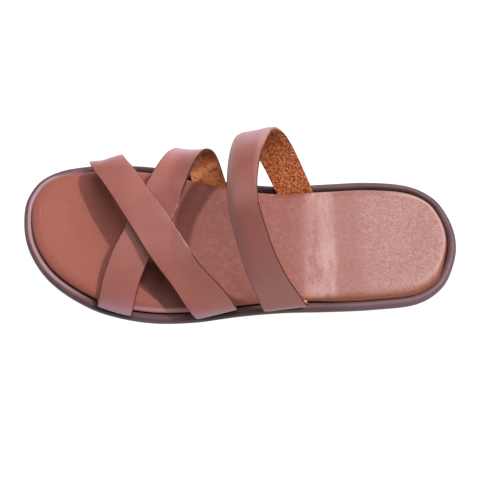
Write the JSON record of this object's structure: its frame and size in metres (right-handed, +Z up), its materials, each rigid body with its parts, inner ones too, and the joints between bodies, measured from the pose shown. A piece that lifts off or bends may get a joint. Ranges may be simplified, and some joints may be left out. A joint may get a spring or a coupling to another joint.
{
  "type": "palm slipper",
  "caption": "Open slip-on leather slipper with two straps crossing over the toes, one instep strap and a rimmed moulded sole.",
  "frame": {"origin": "on the ground, under the middle of the whole slipper's box", "axes": "+X from heel to toe, +Y towards the little-toe side, +Z up"},
  "size_m": [0.2846, 0.1134, 0.0863],
  "materials": {
    "sole_rubber": "satin",
    "footbed_leather": "smooth, lightly grained",
    "strap_leather": "satin outside, rough flesh side inside"
  },
  "bodies": {
    "root": {"sole": "sole_rubber", "footbed": "footbed_leather", "cross_straps": "strap_leather", "instep_strap": "strap_leather"}
  },
  "joints": []
}
